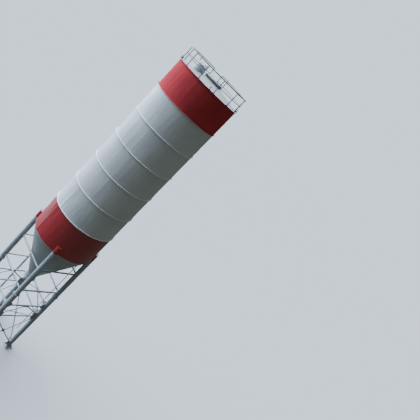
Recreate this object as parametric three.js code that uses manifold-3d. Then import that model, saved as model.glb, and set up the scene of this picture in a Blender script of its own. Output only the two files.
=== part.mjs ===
// Bolted cement silo on four tubular legs: a cylindrical barrel of plate courses, a conical hopper,
// a low conical roof with a guardrail, and a braced square leg frame.
// Millimetres, +Z up. The origin is on the silo's axis, at the level that the base plates stand on.

import * as THREE from "three";
import { mergeVertices } from "three/addons/utils/BufferGeometryUtils.js";
import Module from "manifold-3d";

const wasm = await Module();
wasm.setup();

// Barrel: courses of 1.5 m plate between a taller red band below and a red course on top.
const BARREL_DIAMETER = 3540;
const WALL = 10;
const BARREL_BOTTOM = 7600;
const LOWER_BAND_HEIGHT = 1810;
const COURSE_HEIGHT = 1500;
const WHITE_COURSES = 5;
const RING_PROJECTION = 45;
const RING_THICKNESS = 14;
const SIDES = 48;

// Hopper and outlet.
const OUTLET_RADIUS = 300;
const HOPPER_HEIGHT = 2790;
const NECK_HEIGHT = 320;
const OUTLET_FLANGE_RADIUS = 345;
const OUTLET_FLANGE_THICKNESS = 18;

// Roof and what stands on it.
const ROOF_PLATE = 8;
const ROOF_MARGIN = 3;
const ROOF_EAVE_RADIUS = 1690;
const ROOF_RISE = 228;
const COLLAR_RADIUS = 480;
const COLLAR_WALL = 20;
const COLLAR_HEIGHT = 84;
const COVER_RADIUS = 510;
const COVER_THICKNESS = 70;
const COVER_SIDES = 36;
const VALVE_RADIUS = 260;
const VALVE_HEIGHT = 270;
const VALVE_CAP_RADIUS = 285;
const VALVE_CAP_THICKNESS = 30;
const VALVE_FROM_AXIS = 885;
const VALVE_ANGLE = -119;

// Guardrail round the roof, with a gap where the ladder arrives.
const RAIL_RADIUS = 1745;
const TOP_RAIL_HEIGHT = 705;
const MID_RAIL_HEIGHT = 345;
const TOP_RAIL_TUBE = 24;
const MID_RAIL_TUBE = 17;
const POST_TUBE = 21;
const RAIL_SIDES = 6;
const RAIL_STEP = 7.5;
const RAILINGS = [
  { name: "railing_back_left", from: 144, to: 218, posts: [144, 173, 203] },
  { name: "railing_front_left", from: 218, to: 308, posts: [233, 263, 293] },
  { name: "railing_front_right", from: 308, to: 398, posts: [323, 353, 383] },
  { name: "railing_back_right", from: 398, to: 486, posts: [413, 443, 473, 486] },
];

// Lifting lugs on the rim.
const LUG_INNER = 1696;
const LUG_OUTER = 1808;
const LUG_HEIGHT = 150;
const LUG_THICKNESS = 22;
const LUG_HOLE = 26;
const LUG_HEAD_STEPS = 8;

// Leg frame.
const LEG_SPACING = 2500;
const LEG_RADIUS = 136.5;
const LEG_SIDES = 24;
const HEAD_HEIGHT = 410;
const HEAD_CAP_OVERHANG = 12;
const HEAD_CAP_THICKNESS = 12;
const SPLICE_LEVEL = 4450;
const SPLICE_FLANGE_RADIUS = 180;
const SPLICE_FLANGE_THICKNESS = 24;
const BASE_PLATE_SIZE = 480;
const BASE_PLATE_THICKNESS = 25;

// Bracing, as heights of the bar centres.
const UPPER_BRACE_LEVEL = 6300;
const MIDDLE_BRACE_LEVEL = 4750;
const LOWER_BRACE_LEVEL = 3570;
const LOWEST_BRACE_LEVEL = 2720;
const KNEE_FOOT_LEVEL = 2840;
const CROSS_LEVELS = [280, 2610];
const BRACE_TUBE = 44.5;
const DIAGONAL_TUBE = 30;
const BAR_SIDES = 8;
const GUSSET_THICKNESS = 14;
const GUSSET_REACH = 180;
const GUSSETS = [[3400, 3740], [2470, 3010], [150, 420]];
const KNEE_GUSSET = { halfWidth: 150, depth: 130 };

// Fill pipe up the back, over the rim and down into the roof.
const PIPE_TUBE = 57;
const PIPE_SIDES = 10;
const PIPE_FROM_AXIS = 1880;
const PIPE_ANGLE = 157;
const PIPE_FOOT = 1200;
const PIPE_BEND = 180;
const PIPE_BEND_STEPS = 12;
const PIPE_CROWN = 540;
const COUPLING_RADIUS = 74;
const COUPLING_LENGTH = 130;

// Air pipe up to the hopper, just inside the back bracing.
const AIR_TUBE = 24;
const AIR_PIPE_X = 893;
const AIR_PIPE_CLEARANCE = 4;

// Flat bars that hold the pipes and the ladder.
const STAY_WIDTH = 60;
const STAY_THICKNESS = 12;

// Ladder behind the back left leg.
const LADDER_ANGLE = 135;
const LADDER_FROM_AXIS = 1960;
const LADDER_HALF_WIDTH = 200;
const LADDER_RAIL = [50, 12];
const RUNG = 22;
const RUNG_SPACING = 300;
const LADDER_FOOT = 300;
const LADDER_LENGTH = 6000;
const RUNGS_PER_STAY = 5;
const LADDER_BRACKET = 10;
const LADDER_BRACKET_DROP = 26;

// Seats between pieces that aren't flat face to flat face.
const GAP = 0.3;

const BARREL_RADIUS = BARREL_DIAMETER / 2;
const RING_RADIUS = BARREL_RADIUS + RING_PROJECTION;
const LEG_OFFSET = LEG_SPACING / 2;
const FIRST_SEAM = BARREL_BOTTOM + LOWER_BAND_HEIGHT;
const TOP_SEAM = FIRST_SEAM + WHITE_COURSES * COURSE_HEIGHT;
const RIM = TOP_SEAM + COURSE_HEIGHT;
const HOPPER_BOTTOM = BARREL_BOTTOM - HOPPER_HEIGHT;
const ROOF_TOP = RIM + ROOF_PLATE;
const COLLAR_SEAT = ROOF_TOP + ROOF_RISE;

const paint = (color, roughness, metalness) => new THREE.MeshStandardMaterial({ color, roughness, metalness });
const redPaint = paint(0xa52a30, 0.45, 0);
const whitePaint = paint(0xb9c0c2, 0.5, 0);
const legPaint = paint(0xb4bcc4, 0.5, 0);
const hopperPaint = paint(0x6c7378, 0.55, 0);
const roofPaint = paint(0xb6c2bf, 0.5, 0);
const darkSteel = paint(0x33424a, 0.6, 0.3);
const railPaint = paint(0x6f8288, 0.5, 0.2);

// Booleans: geometry to solid and back.
function cleaned(geometry) {
  const plain = geometry.clone();
  plain.deleteAttribute("normal");
  plain.deleteAttribute("uv");
  return mergeVertices(plain);
}

function solid(geometry) {
  const merged = cleaned(geometry);
  const vertProperties = new Float32Array(merged.attributes.position.array);
  const triVerts = new Uint32Array(merged.index.array);
  return new wasm.Manifold(new wasm.Mesh({ numProp: 3, vertProperties, triVerts }));
}

function geometryOf(manifold) {
  const mesh = manifold.getMesh();
  const geometry = new THREE.BufferGeometry();
  geometry.setAttribute("position", new THREE.BufferAttribute(new Float32Array(mesh.vertProperties), 3));
  geometry.setIndex(new THREE.BufferAttribute(new Uint32Array(mesh.triVerts), 1));
  return geometry;
}

const fused = (solids) => solids.reduce((whole, next) => whole.add(next));

// Basic shapes, upright along Z.
function latheZ(profile, sides = SIDES) {
  const points = [...profile, profile[0]].map(([radius, z]) => new THREE.Vector2(radius, z));
  return new THREE.LatheGeometry(points, sides).rotateX(Math.PI / 2);
}

function rodZ(radius, low, high, sides = LEG_SIDES) {
  const rod = new THREE.CylinderGeometry(radius, radius, high - low, sides).rotateX(Math.PI / 2);
  return rod.translate(0, 0, (low + high) / 2);
}

function box(x, y, z) {
  const block = new THREE.BoxGeometry(x[1] - x[0], y[1] - y[0], z[1] - z[0]);
  return block.translate((x[0] + x[1]) / 2, (y[0] + y[1]) / 2, (z[0] + z[1]) / 2);
}

const span = (middle, size) => [middle - size / 2, middle + size / 2];

function rodBetween(start, end, radius, sides = BAR_SIDES) {
  const from = new THREE.Vector3(...start);
  const along = new THREE.Vector3(...end).sub(from);
  const rod = new THREE.CylinderGeometry(radius, radius, along.length(), sides);
  const turn = new THREE.Quaternion().setFromUnitVectors(new THREE.Vector3(0, 1, 0), along.clone().normalize());
  return rod.applyQuaternion(turn).translate(...from.addScaledVector(along, 0.5).toArray());
}

const turned = (geometry, degrees) => geometry.rotateZ(THREE.MathUtils.degToRad(degrees));

// Outer envelope of barrel, rings and hopper, grown by a clearance, to cut what is fitted against it.
function seamLevels() {
  return Array.from({ length: WHITE_COURSES + 2 }, (_, course) => FIRST_SEAM + course * COURSE_HEIGHT);
}

function barrelEnvelope(clearance) {
  const body = solid(rodZ(BARREL_RADIUS + clearance, BARREL_BOTTOM - clearance, RIM + clearance, SIDES));
  const rings = seamLevels().map((seam) => {
    return solid(rodZ(RING_RADIUS + clearance, seam - RING_THICKNESS - clearance, seam + clearance, SIDES));
  });
  return fused([body, ...rings]);
}

function hopperEnvelope(clearance) {
  const height = HOPPER_HEIGHT;
  const cone = new THREE.CylinderGeometry(BARREL_RADIUS + clearance, OUTLET_RADIUS + clearance, height, SIDES);
  return solid(cone.rotateX(Math.PI / 2).translate(0, 0, BARREL_BOTTOM - height / 2));
}

function roofEnvelope(clearance) {
  const edge = RING_RADIUS - ROOF_MARGIN + clearance;
  return solid(latheZ([
    [0, RIM - clearance],
    [edge, RIM - clearance],
    [edge, ROOF_TOP + clearance],
    [ROOF_EAVE_RADIUS, ROOF_TOP + clearance],
    [COLLAR_RADIUS, COLLAR_SEAT + clearance],
    [0, COLLAR_SEAT + clearance],
  ]));
}

const barrelCut = barrelEnvelope(GAP);
const hopperCut = hopperEnvelope(GAP);
const roofCut = roofEnvelope(GAP);

const silo = new THREE.Group();

function addPiece(name, shape, material) {
  const geometry = shape.isBufferGeometry ? cleaned(shape) : geometryOf(shape);
  const mesh = new THREE.Mesh(geometry, material);
  mesh.name = name;
  silo.add(mesh);
}

// A plate course with the stiffening ring at its upper seam.
function course(low, high) {
  const inner = BARREL_RADIUS - WALL;
  return latheZ([
    [inner, low],
    [BARREL_RADIUS, low],
    [BARREL_RADIUS, high - RING_THICKNESS],
    [RING_RADIUS, high - RING_THICKNESS],
    [RING_RADIUS, high],
    [inner, high],
  ]);
}

addPiece("lower_red_band", course(BARREL_BOTTOM, FIRST_SEAM), redPaint);
for (let index = 0; index < WHITE_COURSES; index += 1) {
  const low = FIRST_SEAM + index * COURSE_HEIGHT;
  addPiece(`white_course_${index + 1}`, course(low, low + COURSE_HEIGHT), whitePaint);
}
addPiece("top_red_course", course(TOP_SEAM, RIM), redPaint);

addPiece("hopper_cone", latheZ([
  [OUTLET_RADIUS - WALL, HOPPER_BOTTOM],
  [OUTLET_RADIUS, HOPPER_BOTTOM],
  [BARREL_RADIUS, BARREL_BOTTOM],
  [BARREL_RADIUS - WALL, BARREL_BOTTOM],
]), hopperPaint);

addPiece("outlet_neck", latheZ([
  [OUTLET_RADIUS - WALL, HOPPER_BOTTOM - NECK_HEIGHT],
  [OUTLET_FLANGE_RADIUS, HOPPER_BOTTOM - NECK_HEIGHT],
  [OUTLET_FLANGE_RADIUS, HOPPER_BOTTOM - NECK_HEIGHT + OUTLET_FLANGE_THICKNESS],
  [OUTLET_RADIUS, HOPPER_BOTTOM - NECK_HEIGHT + OUTLET_FLANGE_THICKNESS],
  [OUTLET_RADIUS, HOPPER_BOTTOM],
  [OUTLET_RADIUS - WALL, HOPPER_BOTTOM],
], LEG_SIDES), hopperPaint);

addPiece("roof", latheZ([
  [COLLAR_RADIUS - COLLAR_WALL, COLLAR_SEAT - ROOF_PLATE],
  [COLLAR_RADIUS, COLLAR_SEAT - ROOF_PLATE],
  [ROOF_EAVE_RADIUS, RIM],
  [RING_RADIUS - ROOF_MARGIN, RIM],
  [RING_RADIUS - ROOF_MARGIN, ROOF_TOP],
  [ROOF_EAVE_RADIUS, ROOF_TOP],
  [COLLAR_RADIUS, COLLAR_SEAT],
  [COLLAR_RADIUS - COLLAR_WALL, COLLAR_SEAT],
]), roofPaint);

addPiece("centre_collar", latheZ([
  [COLLAR_RADIUS - COLLAR_WALL, COLLAR_SEAT],
  [COLLAR_RADIUS, COLLAR_SEAT],
  [COLLAR_RADIUS, COLLAR_SEAT + COLLAR_HEIGHT],
  [COLLAR_RADIUS - COLLAR_WALL, COLLAR_SEAT + COLLAR_HEIGHT],
], COVER_SIDES), roofPaint);

const coverLow = COLLAR_SEAT + COLLAR_HEIGHT;
addPiece("centre_cover", rodZ(COVER_RADIUS, coverLow, coverLow + COVER_THICKNESS, COVER_SIDES), darkSteel);

// Pressure relief valve: a short drum with a cap, its foot cut to the slope of the roof.
function reliefValve() {
  const top = COLLAR_SEAT + VALVE_HEIGHT - VALVE_CAP_THICKNESS;
  const drum = solid(rodZ(VALVE_RADIUS, ROOF_TOP, top));
  const cap = solid(rodZ(VALVE_CAP_RADIUS, top, top + VALVE_CAP_THICKNESS));
  const placed = turned(geometryOf(fused([drum, cap])).translate(VALVE_FROM_AXIS, 0, 0), VALVE_ANGLE);
  return solid(placed).subtract(roofCut);
}
addPiece("relief_valve", reliefValve(), darkSteel);

// One stretch of guardrail between two angles, its rails stopping just short of them.
class RailArc extends THREE.Curve {
  constructor(from, to, z) {
    super();
    this.from = THREE.MathUtils.degToRad(from);
    this.to = THREE.MathUtils.degToRad(to);
    this.z = z;
  }

  getPoint(t, target = new THREE.Vector3()) {
    const angle = THREE.MathUtils.lerp(this.from, this.to, t);
    return target.set(RAIL_RADIUS * Math.cos(angle), RAIL_RADIUS * Math.sin(angle), this.z);
  }
}

function sweptTube(curve, radius, steps, sides) {
  const corners = Array.from({ length: sides }, (_, corner) => {
    const angle = (2 * Math.PI * corner) / sides;
    return new THREE.Vector2(radius * Math.cos(angle), radius * Math.sin(angle));
  });
  return new THREE.ExtrudeGeometry(new THREE.Shape(corners), { steps, bevelEnabled: false, extrudePath: curve });
}

function railing({ from, to, posts }) {
  const trim = THREE.MathUtils.radToDeg(GAP / RAIL_RADIUS);
  const steps = Math.round((to - from) / RAIL_STEP);
  const rail = (height, tube) => {
    return solid(sweptTube(new RailArc(from + trim, to - trim, ROOF_TOP + height), tube, steps, RAIL_SIDES));
  };
  const uprights = posts.map((angle) => {
    const post = rodZ(POST_TUBE, ROOF_TOP, ROOF_TOP + TOP_RAIL_HEIGHT, RAIL_SIDES).translate(RAIL_RADIUS, 0, 0);
    return solid(turned(post, angle));
  });
  return fused([rail(TOP_RAIL_HEIGHT, TOP_RAIL_TUBE), rail(MID_RAIL_HEIGHT, MID_RAIL_TUBE), ...uprights]);
}
RAILINGS.forEach((stretch) => addPiece(stretch.name, railing(stretch), railPaint));

// A lifting lug: an upright radial plate with a rounded head and a hole for a shackle.
function lug(angle) {
  const middle = (LUG_INNER + LUG_OUTER) / 2;
  const half = (LUG_OUTER - LUG_INNER) / 2;
  const outline = new THREE.Shape();
  outline.moveTo(LUG_INNER, 0);
  outline.lineTo(LUG_OUTER, 0);
  outline.lineTo(LUG_OUTER, LUG_HEIGHT - half);
  outline.absarc(middle, LUG_HEIGHT - half, half, 0, Math.PI, false);
  outline.lineTo(LUG_INNER, 0);
  const hole = new THREE.Path();
  hole.absarc(middle, LUG_HEIGHT - half, LUG_HOLE, 0, 2 * Math.PI, true);
  outline.holes.push(hole);
  const settings = { depth: LUG_THICKNESS, bevelEnabled: false, curveSegments: LUG_HEAD_STEPS };
  const plate = new THREE.ExtrudeGeometry(outline, settings);
  plate.rotateX(Math.PI / 2).translate(0, LUG_THICKNESS / 2, ROOF_TOP);
  return turned(plate, angle);
}

// The four corners, each with the angle of its diagonal.
const CORNERS = [
  { name: "front_right", angle: -45, x: 1, y: -1 },
  { name: "back_right", angle: 45, x: 1, y: 1 },
  { name: "back_left", angle: 135, x: -1, y: 1 },
  { name: "front_left", angle: -135, x: -1, y: -1 },
];

CORNERS.forEach(({ name, angle }) => addPiece(`lifting_lug_${name}`, lug(angle), darkSteel));

function atCorner(geometry, { x, y }) {
  return solid(geometry.translate(x * LEG_OFFSET, y * LEG_OFFSET, 0));
}

// The leg tube carried up over the outside of the barrel, closed by a cap plate.
function legHead(corner) {
  const top = BARREL_BOTTOM + HEAD_HEIGHT;
  const tube = atCorner(rodZ(LEG_RADIUS, BARREL_BOTTOM, top), corner);
  const cap = atCorner(rodZ(LEG_RADIUS + HEAD_CAP_OVERHANG, top, top + HEAD_CAP_THICKNESS), corner);
  return fused([tube, cap]).subtract(barrelCut);
}

function upperLeg(corner) {
  const tube = atCorner(rodZ(LEG_RADIUS, SPLICE_LEVEL, BARREL_BOTTOM), corner);
  const flangeTop = SPLICE_LEVEL + SPLICE_FLANGE_THICKNESS;
  const flange = atCorner(rodZ(SPLICE_FLANGE_RADIUS, SPLICE_LEVEL, flangeTop), corner);
  return fused([tube, flange]).subtract(hopperCut);
}

function lowerLeg(corner) {
  const half = BASE_PLATE_SIZE / 2;
  const plate = atCorner(box([-half, half], [-half, half], [0, BASE_PLATE_THICKNESS]), corner);
  const tube = atCorner(rodZ(LEG_RADIUS, BASE_PLATE_THICKNESS / 2, SPLICE_LEVEL), corner);
  const flangeLow = SPLICE_LEVEL - SPLICE_FLANGE_THICKNESS;
  const flange = atCorner(rodZ(SPLICE_FLANGE_RADIUS, flangeLow, SPLICE_LEVEL), corner);
  return fused([plate, tube, flange]);
}

CORNERS.forEach((corner) => {
  addPiece(`leg_head_${corner.name}`, legHead(corner), redPaint);
  addPiece(`upper_leg_${corner.name}`, upperLeg(corner), legPaint);
  addPiece(`lower_leg_${corner.name}`, lowerLeg(corner), legPaint);
});

// Bracing of one side, drawn on the front (-Y) side and turned to its place.
const SIDES_OF_FRAME = [
  { name: "front", turn: 0 },
  { name: "right", turn: 90 },
  { name: "back", turn: 180 },
  { name: "left", turn: 270 },
];

const legCut = fused([-1, 1].map((side) => {
  return solid(rodZ(LEG_RADIUS + GAP, 0, BARREL_BOTTOM).translate(side * LEG_OFFSET, -LEG_OFFSET, 0));
}));

function frontBar(level) {
  return solid(rodBetween([-LEG_OFFSET, -LEG_OFFSET, level], [LEG_OFFSET, -LEG_OFFSET, level], BRACE_TUBE));
}

function horizontalBrace(level) {
  return frontBar(level).subtract(legCut);
}

// Two bars with knee braces between them, and a cross below.
function crossBracing() {
  const bars = [frontBar(LOWER_BRACE_LEVEL), frontBar(LOWEST_BRACE_LEVEL)];
  const reach = LEG_OFFSET - LEG_RADIUS / 2;
  const [crossLow, crossHigh] = CROSS_LEVELS;
  [-1, 1].forEach((side) => {
    const foot = [side * reach, -LEG_OFFSET, crossLow];
    const head = [-side * reach, -LEG_OFFSET, crossHigh];
    bars.push(solid(rodBetween(foot, head, DIAGONAL_TUBE)));
    const kneeFoot = [side * reach, -LEG_OFFSET, KNEE_FOOT_LEVEL];
    bars.push(solid(rodBetween(kneeFoot, [0, -LEG_OFFSET, LOWER_BRACE_LEVEL], DIAGONAL_TUBE)));
  });
  const thick = span(-LEG_OFFSET, GUSSET_THICKNESS);
  const inner = LEG_OFFSET - LEG_RADIUS - GUSSET_REACH;
  GUSSETS.forEach((levels) => {
    bars.push(solid(box([-LEG_OFFSET, -inner], thick, levels)));
    bars.push(solid(box([inner, LEG_OFFSET], thick, levels)));
  });
  const { halfWidth, depth } = KNEE_GUSSET;
  bars.push(solid(box([-halfWidth, halfWidth], thick, [LOWER_BRACE_LEVEL - depth, LOWER_BRACE_LEVEL])));
  return fused(bars).subtract(legCut);
}

SIDES_OF_FRAME.forEach(({ name, turn }) => {
  addPiece(`upper_brace_${name}`, turned(geometryOf(horizontalBrace(UPPER_BRACE_LEVEL)), turn), legPaint);
  addPiece(`middle_brace_${name}`, turned(geometryOf(horizontalBrace(MIDDLE_BRACE_LEVEL)), turn), legPaint);
  addPiece(`cross_bracing_${name}`, turned(geometryOf(crossBracing()), turn), legPaint);
});

const BRACE_LEVELS = [UPPER_BRACE_LEVEL, MIDDLE_BRACE_LEVEL, LOWER_BRACE_LEVEL, LOWEST_BRACE_LEVEL];

// Half circle over the rim, in the plane of the silo's axis and the X axis.
class PipeBend extends THREE.Curve {
  getPoint(t, target = new THREE.Vector3()) {
    const angle = Math.PI * t;
    const middle = PIPE_FROM_AXIS - PIPE_BEND;
    const level = RIM + PIPE_CROWN - PIPE_BEND;
    return target.set(middle + PIPE_BEND * Math.cos(angle), 0, level + PIPE_BEND * Math.sin(angle));
  }
}

function fillPipe() {
  const bendLevel = RIM + PIPE_CROWN - PIPE_BEND;
  const riser = rodZ(PIPE_TUBE, PIPE_FOOT, bendLevel, PIPE_SIDES).translate(PIPE_FROM_AXIS, 0, 0);
  const drop = rodZ(PIPE_TUBE, RIM, bendLevel, PIPE_SIDES).translate(PIPE_FROM_AXIS - 2 * PIPE_BEND, 0, 0);
  const couplingLow = PIPE_FOOT - COUPLING_LENGTH / 2;
  const coupling = rodZ(COUPLING_RADIUS, couplingLow, couplingLow + COUPLING_LENGTH, PIPE_SIDES);
  const bend = sweptTube(new PipeBend(), PIPE_TUBE, PIPE_BEND_STEPS, PIPE_SIDES);
  const pieces = [riser, drop, bend, coupling.translate(PIPE_FROM_AXIS, 0, 0)];
  seamLevels().forEach((seam) => {
    const levels = span(seam - RING_THICKNESS / 2, STAY_THICKNESS);
    pieces.push(box([BARREL_RADIUS, PIPE_FROM_AXIS], span(0, STAY_WIDTH), levels));
  });
  const upright = fused(pieces.map((piece) => solid(turned(piece, PIPE_ANGLE))));
  const stays = BRACE_LEVELS.map((level) => {
    const angle = THREE.MathUtils.degToRad(PIPE_ANGLE);
    const along = [PIPE_FROM_AXIS * Math.cos(angle), -LEG_OFFSET - BRACE_TUBE - GAP];
    const across = span(PIPE_FROM_AXIS * Math.sin(angle), STAY_WIDTH);
    return solid(box(along, across, span(level, STAY_THICKNESS)));
  });
  return fused([upright, ...stays]).subtract(barrelCut).subtract(roofCut);
}
addPiece("fill_pipe", fillPipe(), legPaint);

function airPipe() {
  const barFace = LEG_OFFSET - BRACE_TUBE - GAP;
  const y = barFace - AIR_PIPE_CLEARANCE - AIR_TUBE;
  const pipe = solid(rodZ(AIR_TUBE, PIPE_FOOT, BARREL_BOTTOM, PIPE_SIDES).translate(AIR_PIPE_X, y, 0));
  const stays = BRACE_LEVELS.map((level) => {
    return solid(box(span(AIR_PIPE_X, STAY_WIDTH), [y, barFace], span(level, STAY_THICKNESS)));
  });
  return fused([pipe, ...stays]).subtract(hopperCut);
}
addPiece("air_pipe", airPipe(), legPaint);

// Ladder in three lengths, each drawn on the +X side and turned to its place.
const ladderTop = ROOF_TOP + TOP_RAIL_HEIGHT;
const LADDERS = [
  { name: "ladder_lower", low: LADDER_FOOT, high: LADDER_FOOT + LADDER_LENGTH },
  { name: "ladder_middle", low: LADDER_FOOT + LADDER_LENGTH, high: LADDER_FOOT + 2 * LADDER_LENGTH },
  { name: "ladder_upper", low: LADDER_FOOT + 2 * LADDER_LENGTH, high: ladderTop },
];

const backLegCut = solid(rodZ(LEG_RADIUS + GAP, 0, BARREL_BOTTOM).translate(LEG_OFFSET * Math.SQRT2, 0, 0));

function ladder({ low, high }) {
  const [deep, wide] = LADDER_RAIL;
  const pieces = [];
  [-LADDER_HALF_WIDTH, LADDER_HALF_WIDTH].forEach((centre) => {
    pieces.push(box(span(LADDER_FROM_AXIS, deep), span(centre, wide), [low, high]));
    seamLevels().filter((seam) => seam > low && seam < high).forEach((seam) => {
      const levels = [seam - RING_THICKNESS - LADDER_BRACKET_DROP, seam];
      pieces.push(box([BARREL_RADIUS, LADDER_FROM_AXIS], span(centre, LADDER_BRACKET), levels));
    });
  });
  const rungs = Math.floor((Math.min(high, RIM) - low) / RUNG_SPACING);
  for (let index = 0; index < rungs; index += 1) {
    const level = low + (index + 0.5) * RUNG_SPACING;
    pieces.push(box(span(LADDER_FROM_AXIS, RUNG), [-LADDER_HALF_WIDTH, LADDER_HALF_WIDTH], span(level, RUNG)));
    if (level < BARREL_BOTTOM && index % RUNGS_PER_STAY === 1) {
      const reach = [LEG_OFFSET * Math.SQRT2, LADDER_FROM_AXIS];
      pieces.push(box(reach, span(0, STAY_WIDTH), span(level, STAY_THICKNESS)));
    }
  }
  const whole = fused(pieces.map((piece) => solid(piece)));
  const straight = whole.subtract(backLegCut).subtract(barrelCut).subtract(roofCut);
  return turned(geometryOf(straight), LADDER_ANGLE);
}
LADDERS.forEach((length) => addPiece(length.name, ladder(length), legPaint));

export default silo;
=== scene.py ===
# Looks of a cement silo on four legs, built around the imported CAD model.
# Metres, +Z up. The silo stands on z = 0 and its axis is the Z axis.

import math
from contextlib import contextmanager

import bmesh
import bpy
from mathutils import Matrix, Vector


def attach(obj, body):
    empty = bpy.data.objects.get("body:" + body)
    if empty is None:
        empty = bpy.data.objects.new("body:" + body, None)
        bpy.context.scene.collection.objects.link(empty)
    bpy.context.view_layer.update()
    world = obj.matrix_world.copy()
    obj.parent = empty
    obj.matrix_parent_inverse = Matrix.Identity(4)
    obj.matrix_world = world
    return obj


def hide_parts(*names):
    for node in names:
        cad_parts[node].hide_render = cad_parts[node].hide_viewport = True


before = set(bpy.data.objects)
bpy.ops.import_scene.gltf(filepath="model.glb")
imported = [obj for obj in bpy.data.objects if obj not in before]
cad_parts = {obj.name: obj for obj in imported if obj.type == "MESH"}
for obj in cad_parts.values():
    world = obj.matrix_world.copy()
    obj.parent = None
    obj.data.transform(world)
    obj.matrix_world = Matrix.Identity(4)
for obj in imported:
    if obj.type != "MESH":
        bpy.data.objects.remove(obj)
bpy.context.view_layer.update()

# Barrel, as in the CAD model. Each course has two upright welds, half a turn apart.
BARREL_RADIUS = 1.770
WALL = 0.010
RING_RADIUS = 1.815
RING_THICKNESS = 0.014
BARREL_BOTTOM = 7.600
FIRST_SEAM = 9.410
COURSE = 1.500
WHITE_COURSES = 5
RIM = 18.410
SEAMS = [FIRST_SEAM + COURSE * step for step in range(WHITE_COURSES + 2)]
BARREL_SIDES = 144
WALL_STEP = 2.5
LOWER_BAND_WELD = -97.5
COURSE_WELDS = (90, 165, 60, 15, 30)
TOP_COURSE_WELD = 25
FLAT_STEPS = 3
BEAD_WIDTH = 0.009
BEAD_HEIGHT = 0.004
FILLET_WIDTH = 0.010
FILLET_HEIGHT = 0.012

# Hopper and outlet.
HOPPER_BOTTOM = 4.810
HOPPER_WELDS = (5.700, 6.700)
OUTLET_RADIUS = 0.300
SPOUT_BOTTOM = 4.490
SPOUT_FLANGE = 0.345
SPOUT_FLANGE_THICKNESS = 0.018
SPOUT_BOLT_CIRCLE = 0.327
SPOUT_BOLTS = 16

# Roof and its fittings.
ROOF_TOP = 18.418
ROOF_EDGE = 1.812
ROOF_EAVE = 1.690
ROOF_STRIP = 1.500
ROOF_MIDDLE = 1.100
ROOF_PETALS = 8
COLLAR_SEAT = 18.646
COLLAR_RADIUS = 0.480
LID_RADIUS = 0.510
LID_LOW = 18.730
LID_HIGH = 18.800
LID_BOLTS = 12
HANDLE_FROM_AXIS = 0.240
HANDLE_TUBE = 0.008
RELIEF_FROM_AXIS = 0.885
RELIEF_ANGLE = -119
RELIEF_RADIUS = 0.260
RELIEF_HEIGHT = 0.240
GUIDE_CIRCLE = 0.190

# Guardrail: each stretch with its start, its end and its posts, in degrees.
RAIL_RADIUS = 1.745
TOP_RAIL = 0.705
MID_RAIL = 0.345
TOP_RAIL_TUBE = 0.024
MID_RAIL_TUBE = 0.017
POST_TUBE = 0.021
RAIL_GAP_DEGREES = 0.02
SHOE_LENGTH = 0.070
SHOE_WIDTH = 0.110
SHOE_THICKNESS = 0.008
SHOE_BOLT_DEGREES = 1.25
GUARDRAILS = [
    ("back_left", 144, 218, (144, 173, 203)),
    ("front_left", 218, 308, (233, 263, 293)),
    ("front_right", 308, 398, (323, 353, 383)),
    ("back_right", 398, 486, (413, 443, 473, 486)),
]

# Lifting lugs, drawn on the +X side. A face is given by its distance from the plate's middle.
LUG_EYE = Vector((1.752, 0, 18.512))
LUG_RADIUS = 0.056
LUG_FACE = 0.011
CHEEK_RADIUS = 0.044
CHEEK_FACE = 0.018
PIN_HOLE = 0.026

# Leg frame: each corner with its turn from the front right one.
LEG_OFFSET = 1.250
CORNER = Vector((LEG_OFFSET, -LEG_OFFSET, 0))
LEG_RADIUS = 0.1365
HEAD_TOP = 8.010
SPLICE = 4.450
SPLICE_RADIUS = 0.180
SPLICE_THICKNESS = 0.024
SPLICE_BOLT_CIRCLE = 0.159
SPLICE_BOLTS = 8
BASE_HALF = 0.240
BASE_THICKNESS = 0.025
ANCHOR_OFFSET = 0.185
RIB_END = 0.235
RIB_TOP = 0.215
CORNERS = [("front_right", 0), ("back_right", 90), ("back_left", 180), ("front_left", 270)]
SIDES_OF_FRAME = [("front", 0), ("right", 90), ("back", 180), ("left", 270)]
BRACE_RADIUS = 0.0445
DIAGONAL_RADIUS = 0.030
UPPER_BRACE = 6.300
MIDDLE_BRACE = 4.750
LOWER_BRACE = 3.570
LOWEST_BRACE = 2.720
BRACES = (UPPER_BRACE, MIDDLE_BRACE, LOWER_BRACE, LOWEST_BRACE)
KNEE_FOOT = 2.840
CROSS_TOP = 2.610
CROSS_FOOT = 0.280
GUSSET_LEVELS = ((3.400, 3.740), (2.470, 3.010), (0.150, 0.420))
GUSSET_REACH = 0.180
GUSSET_CORNER = 0.070
GUSSET_FACE = 0.007
MIDDLE_GUSSET = (-0.150, 0.150, 3.440, LOWER_BRACE)
HEART_GUSSET = (-0.110, 0.110, 1.335, 1.555)

# Bolts: width across flats and height of the head.
RAIL_BOLT = (0.017, 0.008)
COVER_BOLT = (0.019, 0.010)
SPLICE_BOLT = (0.024, 0.012)
ANCHOR_BOLT = (0.036, 0.024)

# Pipes and ladder. An edge or a face is given by its distance from the middle of its bar.
PIPE_RADIUS = 0.057
PIPE_FROM_AXIS = 1.880
PIPE_ANGLE = 157
PIPE_FOOT = 1.200
PIPE_BEND = 0.180
PIPE_BEND_LEVEL = 18.770
PIPE_JOINTS = (6.900, 12.900, PIPE_BEND_LEVEL - 0.020)
PIPE_FLANGE = 0.084
COUPLING_RADIUS = 0.074
SEAL_RADIUS = 0.095
AIR_RADIUS = 0.024
AIR_COUPLING = 0.030
AIR_TOP = 7.060
AIR_X = 0.893
AIR_Y = 1.177
STAY_EDGE = 0.030
STAY_FACE = 0.006
LADDER_ANGLE = 135
LADDER_FROM_AXIS = 1.960
LADDER_HALF = 0.200
STILE_EDGE = 0.025
STILE_FACE = 0.006
RUNG_RADIUS = 0.011
RUNG_SPACING = 0.300
RUNGS_PER_STAY = 5
LADDERS = [("lower", 0.300, 6.300), ("middle", 6.300, 12.300), ("upper", 12.300, 19.123)]

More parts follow.
